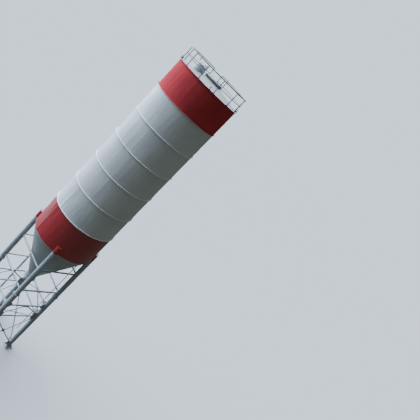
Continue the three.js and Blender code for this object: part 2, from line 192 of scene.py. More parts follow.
# Studio: the soft light's direction, the colours round the silo, and the camera's place and turn
# in degrees. It is rolled, so that the upright silo shows tilted.
SOFT_LIGHT = (-0.834, -0.088, 0.545)
GLOW_TINT = (0.66, 0.79, 0.97, 1.0)
GLOW_PEAK = 52.9
ROOM_TINT = (0.91, 1.0, 0.92, 1.0)
ROOM_LEVEL = 0.137
BACKDROP = (1.05, 1.24, 1.45, 1.0)
FLOOR_SIZE = 600
TOP_LIGHT_ENERGY = 0.4
CAMERA_LENS = 39.0
CAMERA_PLACE = (14.548, -16.559, 19.607)
CAMERA_TURN = (70.512, -44.227, 44.144)


# Helpers for modelling.
def alone(piece):
    """Selects one piece and nothing else."""
    bpy.ops.object.select_all(action="DESELECT")
    piece.select_set(True)
    bpy.context.view_layer.objects.active = piece


@contextmanager
def edit_mode(piece):
    """Edit mode on one piece, starting with points, so that bare edges can be selected too."""
    alone(piece)
    bpy.ops.object.mode_set(mode="EDIT")
    bpy.ops.mesh.select_mode(type="VERT")
    yield
    bpy.ops.object.mode_set(mode="OBJECT")


def settled(name):
    """Names the new primitive and puts its place into its mesh."""
    piece = bpy.context.object
    piece.name = name
    bpy.ops.object.transform_apply(location=True, rotation=True, scale=True)
    return piece


def pick(piece, domain, wanted):
    """In edit mode, selects the faces or edges that a test wants."""
    bpy.ops.mesh.select_all(action="DESELECT")
    bpy.ops.mesh.select_mode(type=domain)
    mesh = bmesh.from_edit_mesh(piece.data)
    for element in mesh.faces if domain == "FACE" else mesh.edges:
        if wanted(element):
            element.select_set(True)
    bmesh.update_edit_mesh(piece.data)


def cleaned_up(piece):
    """Merges doubled points and turns every face outwards."""
    with edit_mode(piece):
        bpy.ops.mesh.select_all(action="SELECT")
        bpy.ops.mesh.remove_doubles(threshold=0.00001)
        bpy.ops.mesh.normals_make_consistent(inside=False)
    return piece


def turned(name, profile, sides=48, solid=False):
    """A circle extruded along a profile of (radius, height) round the Z axis.

    A solid one is capped at both ends. Otherwise the profile runs back to its start.
    """
    radius, height = profile[0]
    bpy.ops.mesh.primitive_circle_add(vertices=sides, radius=radius, location=(0, 0, height))
    piece = settled(name)
    with edit_mode(piece):
        bpy.ops.mesh.select_all(action="SELECT")
        if solid:
            bpy.ops.mesh.edge_face_add()
        for next_radius, next_height in profile[1:] + ([] if solid else profile[:1]):
            rise = next_height - height
            bpy.ops.mesh.extrude_region_move(TRANSFORM_OT_translate={"value": (0, 0, rise)})
            grow = next_radius / radius
            bpy.ops.transform.resize(value=(grow, grow, 1), center_override=(0, 0, next_height))
            radius, height = next_radius, next_height
    return cleaned_up(piece)


def broken_edge(radius, low, high, by=0.002):
    """The outer edge of a flange or bar in a profile, its corners broken."""
    return [(radius - by, low), (radius, low + by), (radius, high - by), (radius - by, high)]


def rounded(piece, width, segments=2):
    """Rounds every sharp edge of a piece."""
    alone(piece)
    bevel = piece.modifiers.new("rounding", "BEVEL")
    bevel.width = width
    bevel.segments = segments
    bevel.limit_method = "ANGLE"
    bpy.ops.object.modifier_apply(modifier=bevel.name)
    return piece


def plate(name, low, high, rounding=0.003):
    """A flat plate or bar between two corners, with its edges broken."""
    low, high = Vector(low), Vector(high)
    bpy.ops.mesh.primitive_cube_add(size=1, location=(low + high) / 2, scale=high - low)
    return rounded(settled(name), rounding)


def tube(name, start, end, radius, sides=24, weld=0.0):
    """A tube between two points. A weld flares its ends where they meet their neighbours."""
    start, end = Vector(start), Vector(end)
    along = end - start
    turn = along.to_track_quat("Z", "Y").to_euler()
    bpy.ops.mesh.primitive_cylinder_add(
        vertices=sides, radius=radius, depth=along.length, location=(start + end) / 2, rotation=turn
    )
    piece = settled(name)
    if not weld:
        return rounded(piece, min(0.003, radius / 4))
    direction = along.normalized()
    with edit_mode(piece):
        for centre, outwards in ((start, -direction), (end, direction)):
            pick(piece, "FACE", lambda face: (face.calc_center_median() - centre).length < 0.001)
            bpy.ops.mesh.extrude_region_move(TRANSFORM_OT_translate={"value": outwards * weld})
            grow = 1 + weld / radius
            bpy.ops.transform.resize(value=(grow, grow, grow), center_override=centre + outwards * weld)
    return piece


def placed(piece, shift=(0, 0, 0), turn=0):
    """Moves a piece, then turns it about the Z axis."""
    alone(piece)
    piece.data.transform(Matrix.Rotation(math.radians(turn), 4, "Z") @ Matrix.Translation(shift))
    return piece


def copied(piece, name, turn=0):
    """A copy with its own mesh, turned about the Z axis."""
    copy = piece.copy()
    copy.data = piece.data.copy()
    copy.name = name
    bpy.context.collection.objects.link(copy)
    return placed(copy, turn=turn)


def joined(name, pieces):
    """Makes one piece of several."""
    bpy.ops.object.select_all(action="DESELECT")
    for piece in pieces:
        piece.select_set(True)
    bpy.context.view_layer.objects.active = pieces[0]
    bpy.ops.object.join()
    pieces[0].name = name
    return pieces[0]


def polar(radius, degrees, height):
    """A point by its distance from the silo's axis, its angle and its height."""
    angle = math.radians(degrees)
    return Vector((radius * math.cos(angle), radius * math.sin(angle), height))


# Colours and materials.
RUST_BROWN = "#6E3B22"


def linear(hex_colour):
    """An sRGB hex colour as linear RGBA."""
    channels = [int(hex_colour[start:start + 2], 16) / 255 for start in (1, 3, 5)]
    return [c / 12.92 if c <= 0.04045 else ((c + 0.055) / 1.055) ** 2.4 for c in channels] + [1.0]


def add_node(material, kind, inputs=None, **settings):
    """Adds a node with its settings, and links or sets its inputs."""
    tree = material.node_tree
    node = tree.nodes.new(kind)
    for setting, value in settings.items():
        setattr(node, setting, value)
    for socket, value in (inputs or {}).items():
        if isinstance(value, bpy.types.NodeSocket):
            tree.links.new(value, node.inputs[socket])
        else:
            node.inputs[socket].default_value = value
    return node


def new_material(name):
    """A material and its shader node."""
    material = bpy.data.materials.new(name)
    material.use_nodes = True
    return material, material.node_tree.nodes["Principled BSDF"]


def per_metre(millimetres):
    """The noise scale whose marks are this wide."""
    return 1000 / millimetres


def painted_steel(
    name,
    light,
    dark,
    dirt,
    roughness=0.42,
    streak=0.4,
    wave=1,
    rust=0.25,
    sheen=0.5,
    foot=FIRST_SEAM,
    rise=COURSE,
):
    """Alkyd enamel sprayed on rolled steel plate and left outdoors.

    The tone drifts from panel to panel over 1.2 m. Rain carries dirt down in runs 60 mm wide, which
    start at the top of each course, under its ring, and fade towards its foot. The gloss is a satin
    one that dust dulls in patches of 200 mm. Rolled plate keeps flats 250 mm wide along its height,
    which draw reflections out into upright streaks. Rust freckles are 5 mm wide in life and would
    not show, so they are drawn 40 mm wide, in patches of 450 mm.
    """
    material, shader = new_material(name)
    place = add_node(material, "ShaderNodeTexCoord").outputs["Object"]
    drift = add_node(
        material, "ShaderNodeTexNoise", {"Vector": place, "Scale": per_metre(1200), "Detail": 3.0}
    )
    tone = add_node(
        material,
        "ShaderNodeMapRange",
        {"Value": drift.outputs["Fac"], "From Min": 0.3, "From Max": 0.7},
    )
    paint = add_node(
        material,
        "ShaderNodeMix",
        {0: tone.outputs["Result"], 6: linear(dark), 7: linear(light)},
        data_type="RGBA",
    )

    # How far up its course a point lies, from 0 at the foot to 1 just under the ring.
    height = add_node(material, "ShaderNodeSeparateXYZ", {"Vector": place})
    level = add_node(
        material, "ShaderNodeMath", {0: height.outputs["Z"], 1: foot}, operation="SUBTRACT"
    )
    courses = add_node(material, "ShaderNodeMath", {0: level.outputs[0], 1: rise}, operation="DIVIDE")
    share = add_node(material, "ShaderNodeMath", {0: courses.outputs[0]}, operation="FRACT")
    fade = add_node(
        material, "ShaderNodeMapRange", {"Value": share.outputs[0], "From Min": 0.3, "From Max": 1.0}
    )
    drawn_out = add_node(material, "ShaderNodeMapping", {"Vector": place, "Scale": (1.0, 1.0, 0.06)})
    rain = add_node(
        material,
        "ShaderNodeTexNoise",
        {"Vector": drawn_out.outputs["Vector"], "Scale": per_metre(60), "Detail": 4.0},
    )
    runs = add_node(
        material,
        "ShaderNodeMapRange",
        {"Value": rain.outputs["Fac"], "From Min": 0.48, "From Max": 0.72, "To Max": streak},
    )
    dirty = add_node(
        material,
        "ShaderNodeMath",
        {0: runs.outputs["Result"], 1: fade.outputs["Result"]},
        operation="MULTIPLY",
    )
    weathered = add_node(
        material,
        "ShaderNodeMix",
        {0: dirty.outputs[0], 6: paint.outputs[2], 7: linear(dirt)},
        data_type="RGBA",
    )

    # Rust freckles, gathered in patches.
    freckle = add_node(
        material, "ShaderNodeTexNoise", {"Vector": place, "Scale": per_metre(40), "Detail": 2.0}
    )
    spots = add_node(
        material,
        "ShaderNodeMapRange",
        {"Value": freckle.outputs["Fac"], "From Min": 0.66, "From Max": 0.74, "To Max": rust},
    )
    patch = add_node(
        material, "ShaderNodeTexNoise", {"Vector": place, "Scale": per_metre(450), "Detail": 3.0}
    )
    where = add_node(
        material,
        "ShaderNodeMapRange",
        {"Value": patch.outputs["Fac"], "From Min": 0.55, "From Max": 0.75},
    )
    rusty = add_node(
        material,
        "ShaderNodeMath",
        {0: spots.outputs["Result"], 1: where.outputs["Result"]},
        operation="MULTIPLY",
    )
    finish = add_node(
        material,
        "ShaderNodeMix",
        {0: rusty.outputs[0], 6: weathered.outputs[2], 7: linear(RUST_BROWN)},
        data_type="RGBA",
    )

    dust = add_node(
        material, "ShaderNodeTexNoise", {"Vector": place, "Scale": per_metre(200), "Detail": 0.0}
    )
    gloss = add_node(
        material,
        "ShaderNodeMapRange",
        {
            "Value": dust.outputs["Fac"],
            "From Min": 0.2,
            "From Max": 0.8,
            "To Min": roughness - 0.04,
            "To Max": roughness + 0.06,
        },
    )
    upright = add_node(material, "ShaderNodeMapping", {"Vector": place, "Scale": (1.0, 1.0, 0.15)})
    flats = add_node(
        material,
        "ShaderNodeTexNoise",
        {"Vector": upright.outputs["Vector"], "Scale": per_metre(250), "Detail": 1.0},
    )
    flatness = add_node(
        material, "ShaderNodeBump", {"Height": flats.outputs["Fac"], "Distance": wave / 1000}
    )
    tree = material.node_tree
    tree.links.new(finish.outputs[2], shader.inputs["Base Color"])
    tree.links.new(gloss.outputs["Result"], shader.inputs["Roughness"])
    tree.links.new(flatness.outputs["Normal"], shader.inputs["Normal"])
    shader.inputs["IOR"].default_value = 1.5
    shader.inputs["Specular IOR Level"].default_value = sheen
    return material


# Red enamel of the top course, chalked by the sun: nearly matt, and washed out a little.
red_paint = painted_steel(
    "chalked_red_alkyd_enamel_on_plate",
    "#C54A50",
    "#B34046",
    "#6B3438",
    roughness=0.60,
    streak=0.2,
    wave=20,
    rust=0.05,
    sheen=0.0,
)
# The same red lower down, deeper and still glossy: it mirrors the bright side of the sky.
deep_red_paint = painted_steel(
    "deep_red_alkyd_enamel_on_plate",
    "#A82B33",
    "#98252D",
    "#5E2A2C",
    roughness=0.33,
    wave=20,
    rust=0.05,
    sheen=1.0,
    foot=BARREL_BOTTOM,
    rise=FIRST_SEAM - BARREL_BOTTOM,
)
# Off-white enamel, greyed by cement dust.
white_paint = painted_steel(
    "white_alkyd_enamel_on_plate", "#D6DADB", "#C9CED0", "#8B8E8A", roughness=0.42, streak=0.2, wave=20
)
# The same white on the edge of the ring bars, where rain washes it cleaner.
ring_paint = painted_steel(
    "white_enamel_on_ring_bar", "#D2D6D8", "#C6CBCD", "#A29C95", roughness=0.40, streak=0.2, rust=0.5
)
# White enamel with a breath of blue, smooth on drawn tube. It is drawn a darker blue-grey than the
# barrel's white: painted shade, for the shade that falls on the legs and their frame under the barrel.
leg_paint = painted_steel(
    "blue_white_enamel_on_tube_with_painted_shade",
    "#A6AEB4",
    "#9AA2A8",
    "#757876",
    roughness=0.34,
    streak=0.2,
    foot=0.0,
    rise=BARREL_BOTTOM,
)
# Grey-white enamel on cone plate, a little duller than the barrel's, and darkened further as painted
# shade for the silo's own shade that it hangs in.
cone_paint = painted_steel(
    "grey_white_enamel_on_cone_plate_with_painted_shade",
    "#ADB1B2",
    "#A1A6A7",
    "#707371",
    roughness=0.45,
    streak=0.3,
    wave=8,
    foot=SPOUT_BOTTOM,
    rise=BARREL_BOTTOM - SPOUT_BOTTOM,
)
# Light grey enamel under a skin of cement dust.
roof_paint = painted_steel(
    "dusty_grey_enamel_on_roof_plate",
    "#8F8D88",
    "#85837E",
    "#75716A",
    roughness=0.5,
    streak=0.3,
    wave=4,
    rust=0.15,
)
# Slate enamel on castings and cut plate.
dark_paint = painted_steel(
    "slate_enamel_on_fittings", "#3C4B52", "#2F3D44", "#57534B", roughness=0.45, streak=0.2, rust=0.4
)
# Light grey enamel on the valve's drum and the lid's rim.
drum_paint = painted_steel(
    "light_grey_enamel_on_rolled_drum", "#C3CBD1", "#B6BEC4", "#7D7E7A", roughness=0.45, streak=0.3
)
# Blue-grey enamel brushed on the rails and on the lid.
rail_paint = painted_steel(
    "blue_grey_enamel_on_rails", "#5F7277", "#526368", "#6B6A63", roughness=0.40, streak=0.2
)
# Pink-cream primer that shows through at the edge of the roof plate, drawn pale over the outer strip of
# the slope as well: partly the primer, partly a painted highlight where the edge catches the sky.
primer_and_highlight_paint = painted_steel(
    "pink_cream_primer_and_painted_highlight", "#F2D0C6", "#E8C4B9", "#B39F90", roughness=0.40, streak=0.2
)


def zinc_coating(name):
    """Hot-dip galvanising: a dull grey metal, mottled by zinc crystals 8 mm wide."""
    material, shader = new_material(name)
    place = add_node(material, "ShaderNodeTexCoord").outputs["Object"]
    crystals = add_node(
        material, "ShaderNodeTexNoise", {"Vector": place, "Scale": per_metre(8), "Detail": 1.0}
    )
    mottle = add_node(
        material,
        "ShaderNodeMix",
        {0: crystals.outputs["Fac"], 6: linear("#8C9194"), 7: linear("#A9AEB0")},
        data_type="RGBA",
    )
    gloss = add_node(
        material,
        "ShaderNodeMapRange",
        {
            "Value": crystals.outputs["Fac"],
            "From Min": 0.3,
            "From Max": 0.7,
            "To Min": 0.38,
            "To Max": 0.55,
        },
    )
    tree = material.node_tree
    tree.links.new(mottle.outputs[2], shader.inputs["Base Color"])
    tree.links.new(gloss.outputs["Result"], shader.inputs["Roughness"])
    shader.inputs["Metallic"].default_value = 1.0
    return material


zinc = zinc_coating("galvanised_steel_of_bolts")


def dressed(piece, slot, materials, *nodes, angle=30):
    """Gives a finished piece its shading, finish and body, and hides the CAD nodes it stands for."""
    alone(piece)
    bpy.ops.object.shade_smooth_by_angle(angle=math.radians(angle))
    for index, material in enumerate(materials):
        if index < len(piece.data.materials):
            piece.data.materials[index] = material
        else:
            piece.data.materials.append(material)
    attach(piece, "root")
    if nodes:
        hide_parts(*nodes)
    return piece


def trimmed_with(piece, wanted):
    """Gives the faces that a test wants the second finish."""
    while len(piece.data.materials) < 2:
        piece.data.materials.append(None)
    for face in piece.data.polygons:
        face.material_index = 1 if wanted(face.center, face.normal) else 0


# A hexagon bolt, copied wherever one sits.
def hex_bolt(name, across, height):
    """A washer, a chamfered hexagon head and the end of the thread, standing on z = 0."""
    washer_edge = across * 0.95
    seat = height * 0.2
    corner = across * 0.577
    core = across * 0.32
    washer = turned("washer", [(washer_edge, 0), (washer_edge, seat)], 16, solid=True)
    head = turned("head", [(corner, seat), (corner, height)], 6, solid=True)
    thread = turned("thread", [(core, height), (core, height * 1.5)], 10, solid=True)
    return joined(name, [washer, rounded(head, across * 0.05, 1), thread])


def bolts(name, pattern, across, height):
    """Bolts at each (place, up or down) of a pattern."""
    first = hex_bolt(name, across, height)
    row = []
    for place, upwards in pattern:
        bolt = copied(first, name + "_copy")
        if not upwards:
            bolt.data.transform(Matrix.Rotation(math.pi, 4, "X"))
        row.append(placed(bolt, place))
    bpy.data.objects.remove(first)
    return joined(name, row)


# Barrel.
def upright_at(spot, low, high):
    """A test for the wall's upright edges that stand at a spot."""
    def wanted(edge):
        ends = [vert.co for vert in edge.verts]
        return all((co - spot).xy.length < 0.002 and low < co.z < high for co in ends)
    return wanted


def weld_bead(piece, angle, low, high, flat):
    """Raises an upright weld on the wall. Rolled plate runs straight to it over the last few steps."""
    with edit_mode(piece):
        for step in range(1 - flat, flat):
            spot = polar(BARREL_RADIUS, angle + step * WALL_STEP, 0)
            pick(piece, "EDGE", upright_at(spot, low, high))
            grow = 1 / math.cos(math.radians((flat - abs(step)) * WALL_STEP))
            bpy.ops.transform.resize(value=(grow, grow, 1), center_override=(0, 0, 0))
        ridge = polar(BARREL_RADIUS / math.cos(math.radians(flat * WALL_STEP)), angle, 0)
        pick(piece, "EDGE", upright_at(ridge, low, high))
        bpy.ops.mesh.bevel(offset=BEAD_WIDTH, segments=2, affect="EDGES")
        pick(piece, "EDGE", upright_at(ridge, low, high))
        bpy.ops.transform.translate(value=ridge.normalized() * BEAD_HEIGHT)


def plate_course(name, low, high, seam_angle, welded_foot=True, flat=1):
    """One rolled course: wall, welds and the stiffening ring at its upper seam."""
    inner = BARREL_RADIUS - WALL
    under_ring = high - RING_THICKNESS
    toe = BARREL_RADIUS + FILLET_WIDTH
    foot = [(toe, low + 0.0005), (BARREL_RADIUS, low + FILLET_HEIGHT)]
    if not welded_foot:
        foot = [(BARREL_RADIUS - 0.002, low), (BARREL_RADIUS, low + 0.003)]
    shell = turned(name, [
        (inner, low),
        *foot,
        (BARREL_RADIUS, (low + high) / 2),
        (BARREL_RADIUS, under_ring - FILLET_HEIGHT),
        (toe, under_ring - 0.001),
        *broken_edge(RING_RADIUS, under_ring, high, 0.003),
        (inner, high),
    ], BARREL_SIDES)
    for angle in (seam_angle, seam_angle + 180):
        weld_bead(shell, angle, low + 0.002, under_ring - 0.010, flat)
    return shell


def on_ring(centre, normal):
    """A test for the faces of a course's stiffening ring."""
    near_seam = min(abs(centre.z - seam) for seam in SEAMS) < 0.018
    return near_seam and Vector((centre.x, centre.y)).length > BARREL_RADIUS + 0.012


lower_band = plate_course(
    "lower_band_shell",
    BARREL_BOTTOM,
    FIRST_SEAM,
    LOWER_BAND_WELD,
    welded_foot=False,
    flat=FLAT_STEPS,
)
trimmed_with(lower_band, on_ring)
dressed(lower_band, "red_paint", [deep_red_paint, ring_paint], "lower_red_band")

for number in range(1, WHITE_COURSES + 1):
    shell = plate_course(
        f"grey_course_shell_{number}",
        SEAMS[number - 1],
        SEAMS[number],
        COURSE_WELDS[number - 1],
        flat=FLAT_STEPS if number == 1 else 1,
    )
    trimmed_with(shell, on_ring)
    bar_paint = ring_paint if number < WHITE_COURSES else red_paint
    dressed(shell, "white_paint", [white_paint, bar_paint], f"white_course_{number}")

top_course = plate_course("top_course_shell", SEAMS[WHITE_COURSES], RIM, TOP_COURSE_WELD)
dressed(top_course, "red_paint", [red_paint], "top_red_course")


# Hopper: a cone of three rows of plates, and its spout.
def cone_radius(height):
    """The cone's outer radius at a height."""
    share = (height - HOPPER_BOTTOM) / (BARREL_BOTTOM - HOPPER_BOTTOM)
    return OUTLET_RADIUS + share * (BARREL_RADIUS - OUTLET_RADIUS)


def hopper():
    """The cone with a low bead at each round weld, and a rim under the barrel."""
    outside = [(OUTLET_RADIUS, HOPPER_BOTTOM)]
    for weld in HOPPER_WELDS:
        for aside, proud in ((-0.040, 0), (-0.010, 0), (-0.001, 0.003), (0.010, 0), (0.040, 0)):
            outside.append((cone_radius(weld + aside) + proud, weld + aside))
    for below in (0.050, 0.015):
        outside.append((cone_radius(BARREL_BOTTOM - below), BARREL_BOTTOM - below))
    rim = [(BARREL_RADIUS, BARREL_BOTTOM - 0.004), (BARREL_RADIUS, BARREL_BOTTOM)]
    lining = [(BARREL_RADIUS - WALL, BARREL_BOTTOM), (OUTLET_RADIUS - WALL, HOPPER_BOTTOM)]
    return turned("hopper_shell", outside + rim + lining, BARREL_SIDES)


dressed(hopper(), "hopper_paint", [cone_paint], "hopper_cone")

spout_seat = SPOUT_BOTTOM + SPOUT_FLANGE_THICKNESS
spout = turned("outlet_spout", [
    (OUTLET_RADIUS - WALL, SPOUT_BOTTOM),
    *broken_edge(SPOUT_FLANGE, SPOUT_BOTTOM, spout_seat),
    (OUTLET_RADIUS + 0.008, spout_seat),
    (OUTLET_RADIUS, spout_seat + 0.008),
    (OUTLET_RADIUS, HOPPER_BOTTOM - 0.010),
    (OUTLET_RADIUS + 0.006, HOPPER_BOTTOM),
    (OUTLET_RADIUS - WALL, HOPPER_BOTTOM),
], 64)
dressed(spout, "hopper_paint", [cone_paint], "outlet_neck")
spout_pattern = [
    (polar(SPOUT_BOLT_CIRCLE, step * 360 / SPOUT_BOLTS, spout_seat), True)
    for step in range(SPOUT_BOLTS)
]
dressed(bolts("spout_bolts", spout_pattern, *COVER_BOLT), "dark_steel", [zinc])


# Roof plate, with radial welds between its petals.
def roof_height(radius):
    """The height of the roof plate at a distance from the axis."""
    share = (ROOF_EAVE - radius) / (ROOF_EAVE - COLLAR_RADIUS)
    return ROOF_TOP + share * (COLLAR_SEAT - ROOF_TOP)


def roof():
    """A shallow cone with a flat edge, and a weld between each two of its petals."""
    deck = turned("roof_deck", [
        (COLLAR_RADIUS - 0.020, COLLAR_SEAT - 0.008),
        (COLLAR_RADIUS, COLLAR_SEAT - 0.008),
        (ROOF_EAVE, RIM),
        *broken_edge(ROOF_EDGE, RIM, ROOF_TOP),
        (ROOF_EAVE + 0.030, ROOF_TOP),
        (ROOF_EAVE - 0.010, roof_height(ROOF_EAVE - 0.010)),
        (ROOF_STRIP, roof_height(ROOF_STRIP)),
        (ROOF_MIDDLE, roof_height(ROOF_MIDDLE)),
        (COLLAR_RADIUS, COLLAR_SEAT),
        (COLLAR_RADIUS - 0.020, COLLAR_SEAT),
    ], BARREL_SIDES)
    welds = []
    for step in range(ROOF_PETALS):
        angle = (step + 0.5) * 360 / ROOF_PETALS
        low_end = polar(ROOF_EAVE - 0.010, angle, ROOF_TOP - 0.001)
        high_end = polar(COLLAR_RADIUS, angle, COLLAR_SEAT - 0.003)
        welds.append(tube("petal_weld", low_end, high_end, 0.007, 8))
    # The outer strip of the slope takes the pale edge paint: the primer's colour and a painted
    # highlight of the lit edge.
    trimmed_with(deck, lambda centre, normal: Vector((centre.x, centre.y)).length > ROOF_STRIP)
    return joined("roof_deck", [deck, *welds])


dressed(roof(), "roof_paint", [roof_paint, primer_and_highlight_paint], "roof")


# Inspection opening in the middle: collar and bolted lid.
def collar():
    """The ring under the lid, welded to the roof."""
    inner = COLLAR_RADIUS - 0.020
    return turned("manhole_collar", [
        (inner, COLLAR_SEAT),
        (COLLAR_RADIUS + 0.008, COLLAR_SEAT),
        (COLLAR_RADIUS, COLLAR_SEAT + 0.010),
        (COLLAR_RADIUS, LID_LOW - 0.012),
        (COLLAR_RADIUS + 0.022, LID_LOW - 0.010),
        (COLLAR_RADIUS + 0.022, LID_LOW),
        (inner, LID_LOW),
    ], 72)


def lid():
    """A dished lid with two handles."""
    disc = turned("manhole_lid", [
        (LID_RADIUS - 0.030, LID_LOW),
        (LID_RADIUS, LID_LOW + 0.001),
        (LID_RADIUS, LID_LOW + 0.030),
        (LID_RADIUS - 0.006, LID_LOW + 0.038),
        (LID_RADIUS - 0.035, LID_LOW + 0.042),
        (0.300, LID_HIGH - 0.010),
        (0.100, LID_HIGH),
    ], 72, solid=True)
    handles = []
    for side in (-1, 1):
        across = side * HANDLE_FROM_AXIS
        feet = [(across, along, LID_LOW + 0.050) for along in (-0.070, 0.070)]
        tops = [(across, along, LID_LOW + 0.110) for along in (-0.070, 0.070)]
        for start, end in ((feet[0], tops[0]), (feet[1], tops[1]), (tops[0], tops[1])):
            handles.append(tube("handle", start, end, HANDLE_TUBE, 10))
    trimmed_with(disc, lambda centre, normal: centre.z < LID_LOW + 0.031 and normal.z > -0.5)
    return joined("manhole_lid", [disc, *handles])


dressed(collar(), "roof_paint", [roof_paint], "centre_collar")
dressed(lid(), "dark_steel", [rail_paint, drum_paint], "centre_cover")
lid_pattern = [
    (polar(LID_RADIUS - 0.020, (step + 0.5) * 360 / LID_BOLTS, LID_LOW + 0.040), True)
    for step in range(LID_BOLTS)
]
dressed(bolts("lid_bolts", lid_pattern, *COVER_BOLT), "dark_steel", [zinc])


def relief_drum():
    """Pressure relief valve: a drum on a foot ring, with a rain cap that overhangs it."""
    foot = roof_height(RELIEF_FROM_AXIS + RELIEF_RADIUS) - 0.010
    high_foot = roof_height(RELIEF_FROM_AXIS - RELIEF_RADIUS) + 0.012
    top = COLLAR_SEAT + RELIEF_HEIGHT
    drum = turned("relief_drum", [
        (RELIEF_RADIUS + 0.020, foot),
        (RELIEF_RADIUS + 0.020, high_foot),
        (RELIEF_RADIUS, high_foot + 0.006),
        (RELIEF_RADIUS, top - 0.040),
        (RELIEF_RADIUS + 0.015, top - 0.030),
        (RELIEF_RADIUS + 0.025, top - 0.028),
        (RELIEF_RADIUS + 0.025, top + 0.012),
        (RELIEF_RADIUS + 0.015, top + 0.020),
        (0.120, top + 0.030),
        (0.030, top + 0.030),
    ], 48, solid=True)
    guides = []
    for step in range(3):
        spot = polar(GUIDE_CIRCLE, 30 + 120 * step, top + 0.022)
        guides.append(tube("guide", spot, spot + Vector((0, 0, 0.05)), 0.014, 12))
    whole = joined("relief_drum", [drum, *guides])
    return placed(whole, polar(RELIEF_FROM_AXIS, RELIEF_ANGLE, 0))


dressed(relief_drum(), "dark_steel", [drum_paint], "relief_valve")


# Guardrail: bent rails on posts with bolted feet.
def bent_rail(height, radius, start, end):
    """A circle stood up at one end of the rail and spun round the silo's axis."""
    bpy.ops.mesh.primitive_circle_add(
        vertices=12,
        radius=radius,
        fill_type="NGON",
        location=polar(RAIL_RADIUS, start, height),
        rotation=(math.pi / 2, 0, math.radians(start)),
    )
    rail = settled("rail")
    with edit_mode(rail):
        bpy.ops.mesh.select_all(action="SELECT")
        bpy.ops.mesh.spin(
            steps=round((end - start) / WALL_STEP),
            angle=math.radians(start - end),
            center=(0, 0, height),
            axis=(0, 0, 1),
        )
    return cleaned_up(rail)


def guardrail(name, start, end, posts):
    """One stretch: a top rail and a middle rail on posts, each post on its shoe."""
    first = start + RAIL_GAP_DEGREES
    last = end - RAIL_GAP_DEGREES
    parts = [
        bent_rail(ROOF_TOP + TOP_RAIL, TOP_RAIL_TUBE, first, last),
        bent_rail(ROOF_TOP + MID_RAIL, MID_RAIL_TUBE, first, last),
    ]
    for angle in posts:
        foot = polar(RAIL_RADIUS, angle, ROOF_TOP)
        parts.append(tube("post", foot, foot + Vector((0, 0, TOP_RAIL)), POST_TUBE, 16))
        shoe = plate(
            "shoe",
            (RAIL_RADIUS - SHOE_LENGTH / 2, -SHOE_WIDTH / 2, ROOF_TOP),
            (RAIL_RADIUS + SHOE_LENGTH / 2, SHOE_WIDTH / 2, ROOF_TOP + SHOE_THICKNESS),
        )
        parts.append(placed(shoe, turn=angle))
    return joined(f"guardrail_{name}", parts)


shoe_bolts = []
for rail_name, rail_start, rail_end, rail_posts in GUARDRAILS:
    stretch = guardrail(rail_name, rail_start, rail_end, rail_posts)
    dressed(stretch, "rail_paint", [rail_paint], f"railing_{rail_name}")
    for post_angle in rail_posts:
        for aside in (-SHOE_BOLT_DEGREES, SHOE_BOLT_DEGREES):
            spot = polar(RAIL_RADIUS, post_angle + aside, ROOF_TOP + SHOE_THICKNESS)
            shoe_bolts.append((spot, True))
dressed(bolts("guardrail_bolts", shoe_bolts, *RAIL_BOLT), "dark_steel", [zinc])


# Lifting lugs: a drilled plate with cheeks round its eye.
def drilled_disc(name, radius, near, far):
    """A disc on edge round the lug's eye, from near to far across it, with the hole for the pin."""
    bpy.ops.mesh.primitive_circle_add(
        vertices=32,
        radius=radius,
        fill_type="NGON",
        location=LUG_EYE + Vector((0, near, 0)),
        rotation=(math.pi / 2, 0, 0),
    )
    disc = settled(name)
    with edit_mode(disc):
        bpy.ops.mesh.select_all(action="SELECT")
        bpy.ops.mesh.inset(thickness=radius - PIN_HOLE)
        bpy.ops.mesh.delete(type="FACE")
        bpy.ops.mesh.select_all(action="SELECT")
        bpy.ops.mesh.extrude_region_move(TRANSFORM_OT_translate={"value": (0, far - near, 0)})
    return cleaned_up(disc)


def lifting_lug():
    """The plate is a disc whose lower half is drawn down flat on the roof's edge."""
    def in_lower_half(face):
        return face.normal.z < -0.05 and face.calc_center_median().z < LUG_EYE.z - 0.002

    body = drilled_disc("lug", LUG_RADIUS, -LUG_FACE, LUG_FACE)
    with edit_mode(body):
        pick(body, "FACE", in_lower_half)
        bpy.ops.transform.resize(value=(1, 1, 0), center_override=(0, 0, ROOF_TOP))
        bpy.ops.mesh.remove_doubles(threshold=0.0015)
    parts = [rounded(body, 0.0015)]
    sunk = LUG_FACE - 0.001
    for near, far in ((-CHEEK_FACE, -sunk), (sunk, CHEEK_FACE)):
        parts.append(rounded(drilled_disc("cheek", CHEEK_RADIUS, near, far), 0.001))
    parts.append(plate("pad", (1.700, -0.045, ROOF_TOP), (1.806, 0.045, ROOF_TOP + 0.010)))
    return joined("lug", parts)


lug = lifting_lug()
for corner, turn in CORNERS:
    copy = copied(lug, f"lug_plate_{corner}", turn=turn - 45)
    dressed(copy, "dark_steel", [dark_paint], f"lifting_lug_{corner}")
bpy.data.objects.remove(lug)


# Legs, modelled at the front right corner and copied round.
def leg_head():
    """The tube's end, carried up over the outside of the barrel and closed by a cap plate."""
    return placed(turned("head", [
        (LEG_RADIUS, BARREL_BOTTOM),
        (LEG_RADIUS, HEAD_TOP - 0.006),
        *broken_edge(LEG_RADIUS + 0.012, HEAD_TOP, HEAD_TOP + 0.012),
    ], 48, solid=True), CORNER)


def upper_leg():
    """The tube from the splice up to the barrel, with its flange."""
    flange = SPLICE + SPLICE_THICKNESS
    return placed(turned("upper", [
        *broken_edge(SPLICE_RADIUS, SPLICE, flange),
        (LEG_RADIUS + 0.008, flange),
        (LEG_RADIUS, flange + 0.010),
        (LEG_RADIUS, BARREL_BOTTOM),
    ], 48, solid=True), CORNER)


